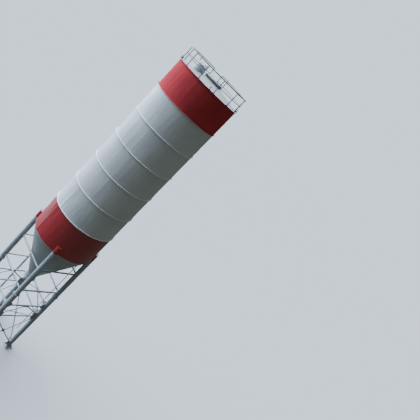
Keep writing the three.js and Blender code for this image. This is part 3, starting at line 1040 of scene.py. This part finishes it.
def lower_leg():
    """The tube from the base plate up to the splice, with four ribs on the base plate."""
    flange = SPLICE - SPLICE_THICKNESS
    post = turned("lower", [
        (LEG_RADIUS + 0.010, BASE_THICKNESS),
        (LEG_RADIUS, BASE_THICKNESS + 0.010),
        (LEG_RADIUS, flange - 0.010),
        (LEG_RADIUS + 0.008, flange),
        *broken_edge(SPLICE_RADIUS, flange, SPLICE),
    ], 48, solid=True)
    parts = [post, plate("base", (-BASE_HALF, -BASE_HALF, 0), (BASE_HALF, BASE_HALF, BASE_THICKNESS))]
    rib_foot = (LEG_RADIUS - 0.004, -0.006, BASE_THICKNESS)
    rib = plate("rib", rib_foot, (RIB_END, 0.006, RIB_TOP), 0.001)
    with edit_mode(rib):
        bpy.ops.mesh.select_all(action="SELECT")
        toe = (RIB_END, 0, 0.060)
        slope = (0.165, 0, 0.085)
        bpy.ops.mesh.bisect(plane_co=toe, plane_no=slope, clear_outer=True, use_fill=True)
    for turn in (45, 135, 225, 315):
        parts.append(copied(rib, "rib", turn=turn))
    bpy.data.objects.remove(rib)
    return placed(joined("lower", parts), CORNER)


def splice_bolts():
    """Eight bolts through the flanges, with their nuts below, and four at the base plate."""
    flange = []
    for step in range(SPLICE_BOLTS):
        spot = polar(SPLICE_BOLT_CIRCLE, (step + 0.5) * 360 / SPLICE_BOLTS, 0) + CORNER
        flange.append((spot + Vector((0, 0, SPLICE + SPLICE_THICKNESS)), True))
        flange.append((spot + Vector((0, 0, SPLICE - SPLICE_THICKNESS)), False))
    anchors = [
        (Vector((x * ANCHOR_OFFSET, y * ANCHOR_OFFSET, BASE_THICKNESS)) + CORNER, True)
        for x in (-1, 1)
        for y in (-1, 1)
    ]
    small = bolts("flange", flange, *SPLICE_BOLT)
    large = bolts("anchors", anchors, *ANCHOR_BOLT)
    return joined("leg_bolts", [small, large])


leg_parts = [
    (leg_head(), "head_tube", "leg_head", "red_paint", deep_red_paint),
    (upper_leg(), "upper_leg_tube", "upper_leg", "leg_paint", leg_paint),
    (lower_leg(), "lower_leg_tube", "lower_leg", "leg_paint", leg_paint),
]
leg_bolts = splice_bolts()
for corner, turn in CORNERS:
    for model, piece_name, node, slot, paint in leg_parts:
        dressed(copied(model, f"{piece_name}_{corner}", turn=turn), slot, [paint], f"{node}_{corner}")
    dressed(copied(leg_bolts, f"leg_bolts_{corner}", turn=turn), "dark_steel", [zinc])
for model in [part[0] for part in leg_parts] + [leg_bolts]:
    bpy.data.objects.remove(model)


# Bracing of the front side, copied round.
def side_bar(height):
    """A horizontal tube from leg to leg, welded at both ends."""
    reach = LEG_OFFSET - LEG_RADIUS - 0.002
    left = (-reach, -LEG_OFFSET, height)
    right = (reach, -LEG_OFFSET, height)
    return tube("bar", left, right, BRACE_RADIUS, weld=0.010)


def sheet_in_bracing(name, left, right, low, high):
    """A plate 14 mm thick in the plane of the bracing."""
    near = (left, -LEG_OFFSET - GUSSET_FACE, low)
    far = (right, -LEG_OFFSET + GUSSET_FACE, high)
    return plate(name, near, far, 0.001)


def gusset(side, low, high):
    """A plate welded to the leg, its free corners cut off."""
    leg_face = LEG_OFFSET - LEG_RADIUS
    inner = leg_face - GUSSET_REACH
    edges = sorted((side * inner, side * (leg_face + 0.010)))
    sheet = sheet_in_bracing("gusset", *edges, low, high)
    with edit_mode(sheet):
        for level, up in ((low, -1), (high, 1)):
            bpy.ops.mesh.select_all(action="SELECT")
            corner = (side * inner, -LEG_OFFSET, level - up * GUSSET_CORNER)
            outwards = (-side, 0, up)
            bpy.ops.mesh.bisect(plane_co=corner, plane_no=outwards, clear_outer=True, use_fill=True)
    return sheet


def cross_bracing():
    """Two bars with knees between them, a cross below, and their gussets."""
    reach = LEG_OFFSET - LEG_RADIUS / 2
    bars = [side_bar(LOWER_BRACE), side_bar(LOWEST_BRACE)]
    for side in (-1, 1):
        foot = (side * reach, -LEG_OFFSET, CROSS_FOOT)
        top = (-side * reach, -LEG_OFFSET, CROSS_TOP)
        bars.append(tube("diagonal", foot, top, DIAGONAL_RADIUS, 20))
        knee = (side * reach, -LEG_OFFSET, KNEE_FOOT)
        bars.append(tube("knee", knee, (0, -LEG_OFFSET, LOWER_BRACE), DIAGONAL_RADIUS, 20))
        for low, high in GUSSET_LEVELS:
            bars.append(gusset(side, low, high))
    bars.append(sheet_in_bracing("middle", *MIDDLE_GUSSET))
    bars.append(sheet_in_bracing("heart", *HEART_GUSSET))
    return joined("cross", bars)


side_parts = [
    (side_bar(UPPER_BRACE), "upper_bar", "upper_brace"),
    (side_bar(MIDDLE_BRACE), "middle_bar", "middle_brace"),
    (cross_bracing(), "cross_bars", "cross_bracing"),
]
for side_name, turn in SIDES_OF_FRAME:
    for model, piece_name, node in side_parts:
        copy = copied(model, f"{piece_name}_{side_name}", turn=turn)
        dressed(copy, "leg_paint", [leg_paint], f"{node}_{side_name}")
for model, piece_name, node in side_parts:
    bpy.data.objects.remove(model)


# Fill pipe: drawn on the +X side and turned to its place.
def clamp(height, radius, length=0.040):
    """A clamp band with its bolted ears."""
    band = turned("band", [
        (radius, height - length / 2),
        (radius + 0.006, height - length / 2),
        (radius + 0.006, height + length / 2),
        (radius, height + length / 2),
    ], 32)
    ear_low = (-0.010, radius, height - length / 2)
    ear_high = (0.010, radius + 0.030, height + length / 2)
    return joined("clamp", [band, plate("ear", ear_low, ear_high)])


def stay(near, far, across, level):
    """A flat bar lying along the X axis from near to far."""
    low = (near, across - STAY_EDGE, level - STAY_FACE)
    return plate("stay", low, (far, across + STAY_EDGE, level + STAY_FACE))


def fill_pipe():
    """A disc drawn up the barrel, spun over the rim and drawn down into the roof."""
    bpy.ops.mesh.primitive_circle_add(
        vertices=32,
        radius=PIPE_RADIUS,
        fill_type="NGON",
        location=(PIPE_FROM_AXIS, 0, PIPE_FOOT + 0.05),
    )
    pipe = settled("pipe")
    with edit_mode(pipe):
        bpy.ops.mesh.select_all(action="SELECT")
        rise = PIPE_BEND_LEVEL - PIPE_FOOT - 0.05
        bpy.ops.mesh.extrude_region_move(TRANSFORM_OT_translate={"value": (0, 0, rise)})
        centre = (PIPE_FROM_AXIS - PIPE_BEND, 0, PIPE_BEND_LEVEL)
        bpy.ops.mesh.spin(steps=20, angle=math.pi, center=centre, axis=(0, 1, 0))
        fall = PIPE_BEND_LEVEL - roof_height(PIPE_FROM_AXIS - 2 * PIPE_BEND) + 0.01
        bpy.ops.mesh.extrude_region_move(TRANSFORM_OT_translate={"value": (0, 0, -fall)})
    parts = [cleaned_up(pipe)]
    place = (PIPE_FROM_AXIS, 0, 0)

    # Flanged joints, clamps at each ring, and the coupling at the foot.
    for level in PIPE_JOINTS:
        joint = turned("joint", [
            (PIPE_RADIUS, level - 0.022),
            (PIPE_FLANGE, level - 0.020),
            (PIPE_FLANGE, level - 0.002),
            (PIPE_FLANGE - 0.006, level),
            (PIPE_FLANGE, level + 0.002),
            (PIPE_FLANGE, level + 0.020),
            (PIPE_RADIUS, level + 0.022),
        ], 32)
        parts.append(placed(joint, place))
    for seam in SEAMS:
        middle = seam - RING_THICKNESS / 2
        parts.append(placed(clamp(middle, PIPE_RADIUS), place))
        parts.append(stay(RING_RADIUS - 0.010, PIPE_FROM_AXIS - PIPE_RADIUS + 0.002, 0, middle))
    coupling = turned("coupling", [
        (0.050, PIPE_FOOT - 0.065),
        (0.068, PIPE_FOOT - 0.065),
        (COUPLING_RADIUS, PIPE_FOOT - 0.058),
        (COUPLING_RADIUS, PIPE_FOOT - 0.010),
        (0.066, PIPE_FOOT),
        (0.066, PIPE_FOOT + 0.030),
        (COUPLING_RADIUS, PIPE_FOOT + 0.038),
        (COUPLING_RADIUS, PIPE_FOOT + 0.058),
        (PIPE_RADIUS, PIPE_FOOT + 0.065),
        (0.050, PIPE_FOOT + 0.065),
    ], 32)
    parts.append(placed(coupling, place))
    for across in (-0.078, 0.078):
        low = (PIPE_FROM_AXIS - 0.012, across - 0.004, PIPE_FOOT - 0.060)
        high = (PIPE_FROM_AXIS + 0.012, across + 0.004, PIPE_FOOT + 0.050)
        parts.append(plate("lever", low, high, 0.002))
    collar_foot = roof_height(PIPE_FROM_AXIS - 2 * PIPE_BEND)
    seal = turned("seal", [
        (PIPE_RADIUS, collar_foot - 0.020),
        (SEAL_RADIUS, collar_foot - 0.020),
        (SEAL_RADIUS, collar_foot + 0.022),
        (PIPE_RADIUS, collar_foot + 0.040),
    ], 32)
    parts.append(placed(seal, (PIPE_FROM_AXIS - 2 * PIPE_BEND, 0, 0)))
    upright = placed(joined("upright", parts), turn=PIPE_ANGLE)

    # Stays to the bars of the left side.
    centre = polar(PIPE_FROM_AXIS, PIPE_ANGLE, 0)
    stays = []
    for level in BRACES:
        stays.append(placed(clamp(level, PIPE_RADIUS), centre))
        bar_face = -LEG_OFFSET - BRACE_RADIUS
        stays.append(stay(centre.x + PIPE_RADIUS - 0.002, bar_face + 0.002, centre.y, level))
    return joined("fill_pipe_run", [upright, *stays])


dressed(fill_pipe(), "leg_paint", [leg_paint], "fill_pipe")


# Air pipe, just inside the back bracing.
def air_pipe():
    """A thin pipe up to the cone's wall, with a coupling at its foot."""
    centre = Vector((AIR_X, AIR_Y, 0))
    pipe = turned("pipe", [
        (0.016, PIPE_FOOT),
        (AIR_COUPLING, PIPE_FOOT + 0.001),
        (AIR_COUPLING, PIPE_FOOT + 0.045),
        (AIR_RADIUS, PIPE_FOOT + 0.050),
        (AIR_RADIUS, AIR_TOP),
    ], 20, solid=True)
    parts = [placed(pipe, centre)]
    for level in BRACES:
        parts.append(placed(clamp(level, AIR_RADIUS, 0.030), centre))
        low = (AIR_X - STAY_EDGE, AIR_Y + AIR_RADIUS - 0.002, level - STAY_FACE)
        high = (AIR_X + STAY_EDGE, LEG_OFFSET - BRACE_RADIUS + 0.002, level + STAY_FACE)
        parts.append(plate("clip", low, high, 0.001))
    return joined("air_pipe_run", parts)


dressed(air_pipe(), "leg_paint", [leg_paint], "air_pipe")


# Ladder in three lengths, drawn on the +X side and turned to its place.
def ladder(name, low, high):
    """One length: stiles, a row of rungs, brackets to the barrel and stays to the leg."""
    parts = []
    for side in (-1, 1):
        across = side * LADDER_HALF
        stile_low = (LADDER_FROM_AXIS - STILE_EDGE, across - STILE_FACE, low)
        stile_high = (LADDER_FROM_AXIS + STILE_EDGE, across + STILE_FACE, high)
        parts.append(plate("stile", stile_low, stile_high, 0.002))
        for seam in SEAMS:
            if low < seam < high:
                foot = (BARREL_RADIUS - 0.002, across - 0.005, seam - RING_THICKNESS - 0.026)
                parts.append(plate("bracket", foot, (LADDER_FROM_AXIS, across + 0.005, seam), 0.001))
        if low > LADDERS[0][1]:
            face = across + side * STILE_FACE
            joint = (LADDER_FROM_AXIS - 0.020, face - 0.004, low - 0.090)
            joint_end = (LADDER_FROM_AXIS + 0.020, face + 0.004, low + 0.090)
            parts.append(plate("fishplate", joint, joint_end, 0.001))
    rungs = math.floor((min(high, RIM) - low) / RUNG_SPACING + 0.001)
    left = (LADDER_FROM_AXIS, -LADDER_HALF - 0.004, low + RUNG_SPACING / 2)
    right = (LADDER_FROM_AXIS, LADDER_HALF + 0.004, low + RUNG_SPACING / 2)
    rung = tube("rung", left, right, RUNG_RADIUS, 12)
    alone(rung)
    row = rung.modifiers.new("row", "ARRAY")
    row.count = rungs
    row.use_relative_offset = False
    row.use_constant_offset = True
    row.constant_offset_displace = (0, 0, RUNG_SPACING)
    bpy.ops.object.modifier_apply(modifier=row.name)
    parts.append(rung)
    for index in range(1, rungs, RUNGS_PER_STAY):
        level = low + (index + 0.5) * RUNG_SPACING
        if level < BARREL_BOTTOM:
            leg_face = LEG_OFFSET * math.sqrt(2) + LEG_RADIUS
            parts.append(stay(leg_face - 0.005, LADDER_FROM_AXIS, 0, level))
    return placed(joined(f"ladder_{name}_run", parts), turn=LADDER_ANGLE)


for ladder_name, ladder_low, ladder_high in LADDERS:
    length = ladder(ladder_name, ladder_low, ladder_high)
    dressed(length, "leg_paint", [leg_paint], f"ladder_{ladder_name}")


# Floor, light and camera.
def pale_floor():
    """A matt pale studio floor. It takes shadows, and throws no light back on the silo."""
    material, shader = new_material("matt_pale_floor")
    shader.inputs["Base Color"].default_value = linear("#B6B6B5")
    shader.inputs["Roughness"].default_value = 1.0
    shader.inputs["Specular IOR Level"].default_value = 0.0
    bpy.ops.object.select_all(action="DESELECT")
    bpy.ops.mesh.primitive_plane_add(size=FLOOR_SIZE, location=(0, 0, 0))
    floor = settled("studio_floor")
    floor.data.materials.append(material)
    floor.visible_diffuse = False
    floor.visible_glossy = False


def soft_room():
    """A room with one broad soft light high on its left wall, a dim rest, and a pale backdrop."""
    world = bpy.data.worlds.new("soft_room")
    bpy.context.scene.world = world
    world.use_nodes = True
    tree = world.node_tree
    dim = tree.nodes["Background"]
    dim.inputs["Color"].default_value = ROOM_TINT
    dim.inputs["Strength"].default_value = ROOM_LEVEL
    towards = add_node(world, "ShaderNodeTexCoord").outputs["Generated"]
    facing = add_node(
        world, "ShaderNodeVectorMath", {0: towards, 1: SOFT_LIGHT}, operation="DOT_PRODUCT"
    )
    spread = add_node(
        world,
        "ShaderNodeMapRange",
        {"Value": facing.outputs["Value"], "From Min": 0.36, "From Max": 2.26, "To Max": GLOW_PEAK},
        interpolation_type="SMOOTHSTEP",
    )
    strength = spread.outputs["Result"]
    glow = add_node(world, "ShaderNodeBackground", {"Color": GLOW_TINT, "Strength": strength})
    light = add_node(world, "ShaderNodeAddShader", {0: dim.outputs[0], 1: glow.outputs[0]})
    backdrop = add_node(world, "ShaderNodeBackground", {"Color": BACKDROP, "Strength": 1.0})
    seen = add_node(world, "ShaderNodeLightPath").outputs["Is Camera Ray"]
    mixed = add_node(
        world, "ShaderNodeMixShader", {0: seen, 1: light.outputs[0], 2: backdrop.outputs[0]}
    )
    tree.links.new(mixed.outputs[0], tree.nodes["World Output"].inputs["Surface"])


pale_floor()
soft_room()

# A faint light from straight above, which falls on upward faces such as the rings, the roof and the
# floor.
bpy.ops.object.light_add(type="SUN", location=(0, 0, 40))
top_light = bpy.context.object
top_light.name = "top_light"
top_light.data.angle = math.radians(20)
top_light.data.energy = TOP_LIGHT_ENERGY

camera = bpy.data.objects.new("camera", bpy.data.cameras.new("camera"))
bpy.context.scene.collection.objects.link(camera)
camera.location = CAMERA_PLACE
camera.rotation_euler = [math.radians(degrees) for degrees in CAMERA_TURN]
camera.data.lens = CAMERA_LENS
camera.data.sensor_width = 36.0
bpy.context.scene.camera = camera
